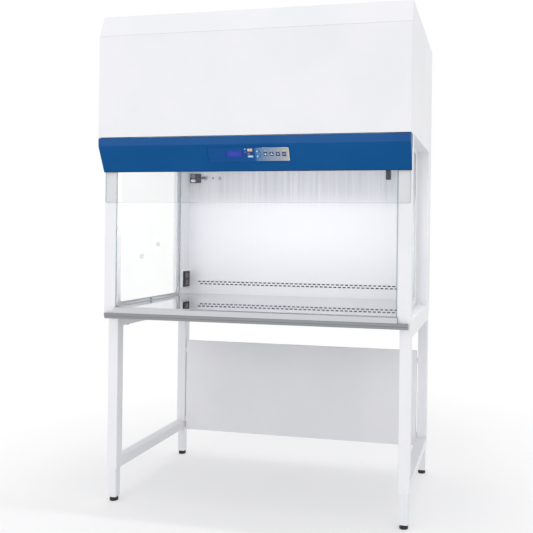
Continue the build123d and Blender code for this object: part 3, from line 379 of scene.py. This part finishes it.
def fascia_coat():
    """Blue powder coat of the fascia, with painted light making its upright facet paler than the slanted
    one, and a painted shadow along the foot of the slanted facet.
    """
    paint = Paint("blue_coat", FASCIA_BLUE, 0.36, Specular_IOR_Level=0.10)
    z = paint.axes()[2]
    clouds = paint.noise(3.5, 3.0).ramp(0.35, 0.65)
    slanted = paint.mix(clouds, srgb(2, 77, 136), srgb(6, 81, 141))
    # The upright facet's paler blue is painted light: the same paint as the slanted facet, lighter where it
    # faces the front.
    upright = paint.mix(clouds, srgb(32, 84, 143), srgb(36, 88, 147))
    upright_painted_light = z.ramp(FACET_TOP.z - FOLD_SOFT, FACET_TOP.z + FOLD_SOFT)
    color = paint.mix(upright_painted_light, slanted, upright)
    # Painted shadow: a dark band along the foot of the slanted facet, where its lower fold lies in shade.
    paint.feed("Base Color", paint.mix(z < FASCIA_PAINTED_SHADOW_Z, color, srgb(22, 44, 78)))
    paint.baked_coat(0.36, 0.00005)
    return paint


def brushed_sheet(name, color, shade, roughness, along, streak=0.06, grain=0.000012):
    """Brushed stainless sheet with fine streaks that run along one axis."""
    fine = [900.0, 900.0, 900.0]
    fine[along] = 3.0
    broad = [70.0, 70.0, 70.0]
    broad[along] = 0.8
    paint = Paint(name, color, roughness, 1.0)
    hair = paint.noise(1.0, 3.0, paint.stretched(*fine), 0.7)
    band = paint.noise(1.0, 2.0, paint.stretched(*broad))
    paint.feed("Base Color", paint.mix(hair * 0.55 + band * 0.45, color, shade))
    paint.feed("Roughness", hair * streak + band * streak + (roughness - streak))
    paint.bump(hair, grain, 0.6)
    return paint


def wall_steel():
    """Satin rear wall: brushed upright, with painted shade under the hood that darkens the wall and brings
    out its streaks there.
    """
    paint = Paint("wall_steel", srgb(244, 245, 248), 0.42, 0.28)
    z = paint.axes()[2]
    hair = paint.noise(1.0, 3.0, paint.stretched(700.0, 700.0, 3.0), 0.7)
    band = paint.noise(1.0, 3.0, paint.stretched(55.0, 55.0, 0.9), 0.65)
    # Painted shade: above these heights the wall turns darker and its streaks stand out, as in the shade
    # under the hood.
    wall_painted_shade = z.ramp(*WALL_PAINTED_SHADE_Z)
    lit = paint.mix(hair * 0.5 + band * 0.5, srgb(241, 242, 245), srgb(235, 236, 240))
    streaks = (hair * 0.6 + band * 0.6).ramp(0.25, 0.85)
    streaks_in_painted_shade = paint.mix(streaks, srgb(240, 241, 244), srgb(204, 205, 210))
    paint.feed("Base Color", paint.mix(wall_painted_shade, lit, streaks_in_painted_shade))
    paint.feed("Roughness", hair * 0.06 + band * 0.06 + 0.36)
    paint.bump(hair, 0.00001, 0.6)
    return paint


def plated_steel(name, rusty=0.0):
    """Zinc plate: cool grey metal with a soft crystal pattern, and rust on the bolts under the bars."""
    paint = Paint(name, srgb(176, 179, 182), 0.34, 1.0)
    z = paint.axes()[2]
    cells = paint.node("ShaderNodeTexVoronoi", None, {"Vector": paint.place(), "Scale": 180.0})
    plate = paint.mix(cells, srgb(188, 190, 192), srgb(158, 160, 164))
    rust = z.between(*BAR_BOLT_Z) * paint.noise(150.0, 3.0).ramp(0.25, 0.5) * rusty
    paint.feed("Base Color", paint.mix(rust, plate, srgb(118, 74, 58)))
    paint.feed("Metallic", 1 - rust)
    paint.feed("Roughness", cells * 0.15 + rust * 0.3 + 0.28)
    return paint


def glass_sheet(name, edge_axes, tint, haze, rim=0.66):
    """Float glass: almost clear through its faces, green along the ground edges, which face two axes."""
    paint = Paint(name, tint, 0.03, 0.0, IOR=1.5, Coat_Weight=0.5, Coat_Roughness=0.02)
    facing = paint.facing()
    edge = facing[edge_axes[0]].high(facing[edge_axes[1]]) > PANE_EDGE
    smear = paint.noise(5.0, 3.0).ramp(0.45, 0.75) * 0.015
    paint.feed("Base Color", paint.mix(edge, tint, srgb(138, 160, 158)))
    paint.feed("Alpha", edge * rim + smear + haze)
    paint.feed("Roughness", edge * 0.25 + 0.03)
    return paint


def moulded(name, color, roughness=0.42):
    """Moulded plastic with faint flow marks."""
    paint = Paint(name, color, roughness)
    darker = tuple(0.88 * part for part in color[:3]) + (1.0,)
    paint.feed("Base Color", paint.mix(paint.noise(40.0).ramp(0.3, 0.7), color, darker))
    paint.spark_texture(roughness)
    return paint


def clear_plug():
    """Milky soft plug, clearer in its middle than round its rim."""
    paint = Paint("plug_resin", srgb(236, 238, 240), 0.30)
    murk = paint.noise(160.0, 2.0).ramp(0.3, 0.7)
    paint.feed("Base Color", paint.mix(murk, srgb(240, 242, 243), srgb(222, 225, 228)))
    paint.feed("Alpha", murk * 0.10 + 0.34)
    return paint


def outlet_body():
    """Dark body of the duplex outlet, with its two greyer socket faces and a blue bar between them."""
    paint = Paint("outlet_body", srgb(44, 45, 48), 0.40)
    x, y, z = paint.axes()
    low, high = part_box("outlet_frame")
    middle = (low + high) / 2
    sideways = abs(y - middle.y)
    upward = abs(z - middle.z)
    face = (sideways < SOCKET_HALF) * upward.between(*SOCKET_RISE)
    bar = (sideways < BAR_HALF[0]) * (upward < BAR_HALF[1])
    color = paint.mix(face, srgb(34, 35, 38), srgb(112, 103, 92))
    paint.feed("Base Color", paint.mix(bar, color, srgb(40, 62, 116)))
    paint.spark_texture(0.40)
    return paint


def holder_resin():
    """Lamp fittings: dark plates, with the grey ring and the white cap of the left one."""
    paint = Paint("holder_resin", FITTING_DARK, 0.40)
    x, y, z = paint.axes()
    ring = (x - HOLDER_RING[0]).reach(z - HOLDER_RING[1]) < HOLDER_REACH
    cap_reach = abs(x - HOLDER_CAP[0]).high(abs(z - HOLDER_CAP[1]) * HOLDER_CAP_SQUASH)
    cap = cap_reach < HOLDER_REACH
    proud = y < HOLDER_PLATE_Y
    color = paint.mix(ring * proud, srgb(54, 57, 62), srgb(142, 146, 152))
    paint.feed("Base Color", paint.mix(cap * proud, color, srgb(226, 227, 228)))
    paint.spark_texture(0.40)
    return paint


def foot_rubber():
    """Dark foot rubber with a little floor dust low on its rim."""
    paint = Paint("foot_rubber", RUBBER, 0.62)
    z = paint.axes()[2]
    dust = (1 - z.ramp(0.0, DUST_TOP)) * paint.noise(220.0, 3.0).ramp(0.45, 0.7)
    paint.feed("Base Color", paint.mix(dust * 0.5, RUBBER, srgb(120, 112, 110)))
    paint.bump(paint.noise(900.0, 2.0), 0.00005, 0.5)
    return paint


def pleated_paper():
    """Glass-fibre paper of the filter, with short fibres along its pleats."""
    paint = Paint("filter_paper", srgb(238, 238, 234), 0.85)
    fibres = paint.noise(1.0, 4.0, paint.stretched(900.0, 300.0, 900.0), 0.7)
    paint.feed("Base Color", paint.mix(fibres, srgb(240, 240, 236), srgb(222, 222, 218)))
    paint.bump(fibres, 0.0001, 0.5)
    return paint


def filter_wool():
    """Non-woven pad of tangled strands."""
    paint = Paint("filter_wool", srgb(222, 224, 220), 0.95)
    strands = paint.noise(420.0, 5.0, None, 0.75)
    paint.feed("Base Color", paint.mix(strands.ramp(0.35, 0.65), srgb(190, 194, 192), srgb(236, 238, 236)))
    paint.bump(strands, 0.0008, 0.7)
    return paint


def foam_rubber():
    """Black foam strip with small cells."""
    paint = Paint("foam_rubber", srgb(48, 48, 50), 0.9)
    cells = paint.node("ShaderNodeTexVoronoi", None, {"Vector": paint.place(), "Scale": 700.0})
    paint.feed("Base Color", paint.mix(cells, srgb(34, 34, 36), srgb(62, 62, 64)))
    paint.bump(cells, 0.0003, 0.6)
    return paint


def circuit_laminate():
    """Green laminate with copper runs seen through the lacquer."""
    paint = Paint("circuit_laminate", srgb(30, 92, 52), 0.35)
    sockets = {"Vector": paint.place(), "Scale": 60.0, "Mortar Size": 0.02}
    runs = paint.node("ShaderNodeTexBrick", None, sockets, 1)
    paint.feed("Base Color", paint.mix(runs, srgb(30, 92, 52), srgb(70, 130, 74)))
    return paint


def lamp_glass():
    """White lamp tube with a metal cap at each end."""
    paint = Paint("lamp_glass", TUBE_WHITE, 0.22)
    x = paint.axes()[0]
    cap = abs(x) > LAMP_CAP_X
    paint.feed("Base Color", paint.mix(cap, TUBE_WHITE, srgb(170, 172, 174)))
    paint.feed("Metallic", cap)
    paint.feed("Emission Color", paint.mix(cap, srgb(250, 252, 255), srgb(0, 0, 0)))
    paint.feed("Emission Strength", 1.0)
    return paint


def down_facet(z):
    """Distance down the slanted facet from the fascia's crease, from a height."""
    return (FACET_TOP.z - z) * (1 / math.cos(FACET_ANGLE))


def panel_film():
    """Printed film: blue ground, an arched silver field that fades in from the left, a thin printed ring,
    and a thin dark line of painted shade at its ends and top.
    """
    paint = Paint("panel_film", FILM_BLUE, 0.28, Specular_IOR_Level=0.12)
    x, y, z = paint.axes()
    down = down_facet(z)
    arch = (x - FIELD_ARCH_X).power(2.0) * FIELD_ARCH + FIELD_TOP
    inside = (down > arch) * (down < FIELD_BOTTOM) * (x < FIELD_X1)
    past_x = (x - (FIELD_X1 - FIELD_CORNER)).high(0.0)
    past_down = (abs(down - FIELD_MIDDLE) - (FIELD_BOTTOM - FIELD_MIDDLE - FIELD_CORNER)).high(0.0)
    inside = inside * (past_x.reach(past_down) < FIELD_CORNER)
    fade = x.ramp(*FIELD_FADE_X)
    silver = paint.mix(x.ramp(*FIELD_SILVER_X), srgb(84, 128, 172), srgb(146, 158, 172))
    silver = paint.mix(x.ramp(*FIELD_WARM_X), silver, srgb(184, 178, 172))
    rim = (x > FIELD_X1 - FIELD_RIM_X).high((down < arch + FIELD_RIM_DOWN) * (x > FIELD_RIM_START))
    silver = paint.mix(rim, silver, srgb(224, 214, 196))
    ground = paint.mix(inside * fade, FILM_BLUE, silver)
    reach = (x - RING_AT[0]).reach(down - RING_AT[1])
    ring = reach.between(RING_R - RING_LINE, RING_R + RING_LINE)
    ground = paint.mix(ring, ground, srgb(30, 84, 140))
    low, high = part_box("panel_overlay")
    middle = (low + high) / 2
    # Painted shade: a dark line along the film's ends and top, where it meets the edge of its recess.
    end = abs(x - middle.x) > (high.x - low.x) / 2 - FILM_SHADE_LINE
    border = end.high(z > high.z - FILM_TOP_SHADE_LINE)
    paint.feed("Base Color", paint.mix(border, ground, srgb(6, 62, 122)))
    paint.feed("Roughness", paint.noise(300.0) * 0.08 + 0.24)
    return paint


def display_glass():
    """Backlit blue display with a faint grid of dots and a dark border."""
    paint = Paint("display_glass", srgb(58, 80, 186), 0.12, Specular_IOR_Level=0.2)
    x, y, z = paint.axes()
    low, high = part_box("panel_display")
    middle = (low + high) / 2
    span = (high - low) / 2
    across = abs(x - middle.x) * (1 / span.x)
    along = abs(z - middle.z) * (1 / span.z)
    border = across.high(along) > DISPLAY_BORDER
    sockets = {"Vector": paint.place(), "Scale": 900.0, "Mortar Size": 0.03}
    dots = paint.node("ShaderNodeTexBrick", None, sockets, 1)
    lit = paint.mix(across.high(along).ramp(0.2, 1.0), srgb(50, 70, 170), srgb(38, 58, 152))
    lit = paint.mix(dots * 0.25, lit, srgb(34, 52, 140))
    color = paint.mix(border, lit, srgb(14, 48, 118))
    paint.feed("Base Color", color)
    paint.feed("Emission Color", color)
    paint.feed("Emission Strength", 0.10)
    return paint


def lens_colors():
    """One material for all lenses: each takes its colour from where it sits on the panel."""
    paint = Paint("lens_resin", LENS_GREY, 0.18)
    x, y, z = paint.axes()
    down = down_facet(z)
    color = LENS_GREY
    for at, below, shade in LENS_COLORS:
        reach = abs(x - at).high(abs(down - below))
        color = paint.mix(reach < LENS_REACH, color, srgb(*shade))
    paint.feed("Base Color", color)
    paint.feed("Emission Color", color)
    paint.feed("Emission Strength", 0.2)
    return paint


def domed_key(name, key, color, rim, sign=None, sign_color=None, round_cap=False):
    """Domed key cap with a line round its edge, and a sign printed on its top."""
    paint = Paint(name, color, 0.30)
    x, y, z = paint.axes()
    low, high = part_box(key)
    middle = (low + high) / 2
    half_x = (high.x - low.x) / 2 - KEY_FLANGE
    half_z = (high.z - low.z) / 2 - KEY_FLANGE
    across = x - middle.x
    along = (z - middle.z) * (1 / math.cos(FACET_ANGLE))
    reach = across.reach(along)
    if round_cap:
        edge = reach * (1 / half_x)
    else:
        edge = (abs(across) * (1 / half_x)).high(abs(z - middle.z) * (1 / half_z))
    face = paint.mix(edge.ramp(*KEY_LINE), color, rim)
    if sign:
        face = paint.mix(sign(across, along, reach), face, sign_color)
    paint.feed("Base Color", face)
    paint.feed("Roughness", paint.noise(400.0) * 0.08 + 0.26)
    paint.bump(edge.ramp(1.0, 0.6), 0.0003, 0.4)
    return paint


# Signs of the keys. Across, along and reach are measured in metres from the key's middle: to the right, up
# the facet, and in any direction. Each gives 1 where the sign is printed.


def bulb_sign(across, along, reach):
    """Round bulb with eight rays."""
    rays = (along.angle(across) * 8).sine() > 0.3
    return (reach < 0.0027).high(reach.between(0.0036, 0.0054) * rays)


def fan_sign(across, along, reach):
    """Three curved blades round a dot."""
    blades = (along.angle(across) * 3 + reach * 420).sine() > 0.05
    return (reach.between(0.0016, 0.0054) * blades).high(reach < 0.0010)


def ray_sign(across, along, reach):
    """Star of six arms."""
    arms = abs((along.angle(across) * 3).sine()) * reach < 0.0013
    return arms * (reach < 0.0054)


def socket_sign(across, along, reach):
    """Two dots side by side."""
    return (abs(across) - 0.0036).power(2.0) + along.power(2.0) < 0.0019 ** 2


def up_sign(across, along, reach):
    """Triangle that points up."""
    return (abs(across) < (0.0022 - along) * 0.9) * (along > -0.0016)


def down_sign(across, along, reach):
    """Triangle that points down."""
    return (abs(across) < (along + 0.0022) * 0.9) * (along < 0.0016)


def twin_sign(across, along, reach):
    """Two large discs side by side."""
    return (abs(across) - 0.0052).power(2.0) + along.power(2.0) < 0.0042 ** 2


def half_sign(across, along, reach):
    """Right half of the key."""
    return across > 0.0


def dash_sign(across, along, reach):
    """Wide dash."""
    return (abs(across) < 0.0085) * (abs(along) < 0.0016)


def coat(paint, *names):
    """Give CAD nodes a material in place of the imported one."""
    for name in names:
        slots = nodes[name].data.materials
        slots.clear()
        slots.append(paint.material)


def coat_cabinet():
    """Materials of the cabinet and the stand."""
    coat(powder_coat("white_coat", WHITE, WHITE_SHADE), "hood_case", "front_cover", "side_tray_left",
         "side_tray_right", "side_liner_left", "side_liner_right", "stand_frame_left", "stand_frame_right",
         "stand_panel", "visor_rail", "inner_leg_front_left", "inner_leg_front_right",
         "inner_leg_rear_left", "inner_leg_rear_right", "diffuser")
    coat(fascia_coat(), "control_fascia")
    coat(wall_steel(), "rear_wall")
    coat(brushed_sheet("top_steel", srgb(213, 213, 216), srgb(201, 202, 206), 0.03, 0, 0.010, 0.0000005),
         "worktop")
    coat(brushed_sheet("rail_steel", srgb(164, 166, 169), srgb(138, 140, 144), 0.28, 0), "base_pan")
    coat(plated_steel("zinc_plate"), "screws", "plenum_deck", "blower_scroll", "blower_motor",
         "electrical_box")
    coat(plated_steel("bolt_plate", 1.0), "hex_bolts")
    coat(brushed_sheet("bare_aluminium", srgb(206, 208, 210), srgb(190, 192, 196), 0.38, 1),
         "filter_frame", "impeller", "service_cock")
    coat(glass_sheet("pane_glass", (1, 2), srgb(232, 240, 242), 0.03), "side_pane_left", "side_pane_right")
    coat(glass_sheet("visor_glass", (0, 2), srgb(150, 154, 160), 0.06, 0.45), "front_visor")
    coat(moulded("white_moulding", srgb(252, 252, 252)), "outlet_plate")
    coat(clear_plug(), "hole_plugs")
    coat(moulded("dark_moulding", FITTING_DARK), "cock_lever", "mains_inlet", "panel_tray")
    coat(outlet_body(), "outlet_frame")
    coat(holder_resin(), "lamp_holders")
    coat(foot_rubber(), "foot_front_left", "foot_front_right", "foot_rear_left", "foot_rear_right")
    coat(foam_rubber(), "filter_gasket")
    coat(pleated_paper(), "filter_media")
    coat(filter_wool(), "prefilter_pad")
    coat(lamp_glass(), "lamp_tube")


def coat_panel():
    """Materials of the control panel and its keys."""
    coat(circuit_laminate(), "keypad_board")
    coat(panel_film(), "panel_overlay")
    coat(display_glass(), "panel_display")
    coat(lens_colors(), "indicator_lenses")
    for key, sign in (("key_light", bulb_sign), ("key_fan", fan_sign), ("key_lamp", ray_sign),
                      ("key_socket", socket_sign)):
        coat(domed_key(key + "_cap", key, NAVY, SILVER_LINE, sign, SIGN_WHITE), key)
    for key, sign in (("key_up", up_sign), ("key_down", down_sign)):
        coat(domed_key(key + "_cap", key, SKY, SKY_RIM, sign, SIGN_WHITE, True), key)
    for key, color, rim, sign, sign_color in (
            ("key_set", srgb(186, 158, 132), srgb(150, 128, 112), twin_sign, srgb(226, 206, 178)),
            ("key_menu", srgb(126, 92, 104), srgb(84, 100, 140), half_sign, srgb(24, 44, 112)),
            ("key_mute", srgb(120, 176, 220), srgb(150, 190, 222), dash_sign, SIGN_WHITE)):
        coat(domed_key(key + "_cap", key, color, rim, sign, sign_color), key)


def louvred_back():
    """Back panel with a hood pressed inward over each of its slots, open at the bottom."""
    sheet = bmesh.new()
    sheet.from_mesh(nodes["back_panel"].data)
    for column in range(SLOT_COLUMNS):
        for row in (-0.5, 0.5):
            sideways = (column - (SLOT_COLUMNS - 1) / 2) * SLOT_STEP
            press_hood(sheet, Vector((sideways, BACK_INNER_Y, SLOT_MIDDLE_Z + row * SLOT_ROWS)))
    mesh = bpy.data.meshes.new("louvred_back")
    sheet.to_mesh(mesh)
    sheet.free()
    mesh.materials.clear()
    mesh.materials.append(back_coat().material)
    piece = bpy.data.objects.new("louvred_back", mesh)
    bpy.context.scene.collection.objects.link(piece)
    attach(piece, "cabinet")
    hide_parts("back_panel")


def press_hood(sheet, place):
    """Add one hood: a quarter of an ellipse in section that closes towards its ends."""
    rows = []
    for i in range(HOOD_ACROSS + 1):
        along = 2 * i / HOOD_ACROSS - 1
        full = math.sqrt(max(0.0, 1 - along ** 4))
        row = []
        for j in range(HOOD_AROUND + 1):
            turn = math.pi / 2 * j / HOOD_AROUND
            inward = HOOD_DEEP * math.sin(turn) * full
            drop = HOOD_HIGH * (1 - math.cos(turn))
            row.append(sheet.verts.new(place + Vector((along * HOOD_HALF, -inward, HOOD_TOP - drop))))
        rows.append(row)
    faces = []
    for left, right in zip(rows, rows[1:]):
        for j in range(HOOD_AROUND):
            faces.append(sheet.faces.new((left[j], left[j + 1], right[j + 1], right[j])))
    for face in faces:
        face.smooth = True
    bmesh.ops.solidify(sheet, geom=faces, thickness=HOOD_SHEET)


def bright_rays(paint):
    """1 for the rays in which the camera, metal and glass see the surroundings."""
    kinds = paint.node("ShaderNodeLightPath").socket.node.outputs
    seen = Wire(paint, kinds["Is Camera Ray"]).high(Wire(paint, kinds["Is Glossy Ray"]))
    return seen.high(Wire(paint, kinds["Is Transmission Ray"]))


def paper_floor():
    """White paper that keeps the shadow near the object and runs out into plain white."""
    paint = Paint("studio_paper", srgb(246, 246, 247), 0.9)
    x, y, z = paint.axes()
    away = x.reach(y * 0.8).ramp(*FLOOR_FADE)
    paint.feed("Base Color", paint.mix(paint.noise(30.0), srgb(246, 246, 247), srgb(244, 244, 246)))
    glow = paint.node("ShaderNodeEmission", None, {"Color": (1.0, 1.0, 1.0, 1.0), "Strength": 1.0})
    white_share = bright_rays(paint) * (away * (1 - FLOOR_GLOW) + FLOOR_GLOW)
    blend = paint.node("ShaderNodeMixShader", None, [white_share])
    mixer = blend.socket.node
    paint.tree.links.new(paint.shader.outputs[0], mixer.inputs[1])
    paint.tree.links.new(glow.socket, mixer.inputs[2])
    paint.tree.links.new(blend.socket, paint.output.inputs[0])
    return paint


def studio():
    """White floor and surroundings, and soft lamps."""
    bpy.ops.mesh.primitive_plane_add(size=FLOOR_SIZE)
    floor = bpy.context.object
    floor.name = "studio_floor"
    floor.data.materials.append(paper_floor().material)
    world = bpy.data.worlds.new("studio_world")
    world.use_nodes = True
    bpy.context.scene.world = world
    tree = world.node_tree
    back = tree.nodes["Background"]
    path = tree.nodes.new("ShaderNodeLightPath")
    level = tree.nodes.new("ShaderNodeMapRange")
    level.inputs["To Min"].default_value = 1.0
    level.inputs["To Max"].default_value = WORLD_LIGHT
    tree.links.new(path.outputs["Is Diffuse Ray"], level.inputs["Value"])
    tree.links.new(level.outputs[0], back.inputs["Strength"])
    back.inputs["Color"].default_value = (1.0, 1.0, 1.0, 1.0)
    for name, place, aim, size, power in LAMPS:
        data = bpy.data.lights.new(name, "AREA")
        data.shape = "RECTANGLE"
        data.size, data.size_y = size
        data.energy = power
        lamp = bpy.data.objects.new(name, data)
        bpy.context.scene.collection.objects.link(lamp)
        lamp.location = place
        lamp.rotation_euler = (Vector(aim) - Vector(place)).to_track_quat("-Z", "Y").to_euler()
        lamp.visible_camera = False
        lamp.visible_glossy = False


def camera():
    """Camera at the photograph's place, turned a little to the left of straight on."""
    yaw = math.radians(CAMERA_YAW)
    roll = math.radians(CAMERA_ROLL)
    ahead = Vector((-math.sin(yaw), math.cos(yaw), 0.0))
    level = Vector((math.cos(yaw), math.sin(yaw), 0.0))
    up = Vector((0.0, 0.0, 1.0))
    right = level * math.cos(roll) + up * math.sin(roll)
    top = up * math.cos(roll) - level * math.sin(roll)
    data = bpy.data.cameras.new("camera")
    data.lens = CAMERA_LENS
    data.sensor_width = 36.0
    data.shift_x, data.shift_y = CAMERA_SHIFT
    eye = bpy.data.objects.new("camera", data)
    bpy.context.scene.collection.objects.link(eye)
    turn = Matrix((right, top, -ahead)).transposed().to_4x4()
    eye.matrix_world = Matrix.Translation(CAMERA_PLACE) @ turn
    bpy.context.scene.camera = eye


coat_cabinet()
coat_panel()
louvred_back()
studio()
camera()
bpy.context.scene.view_settings.view_transform = "Standard"
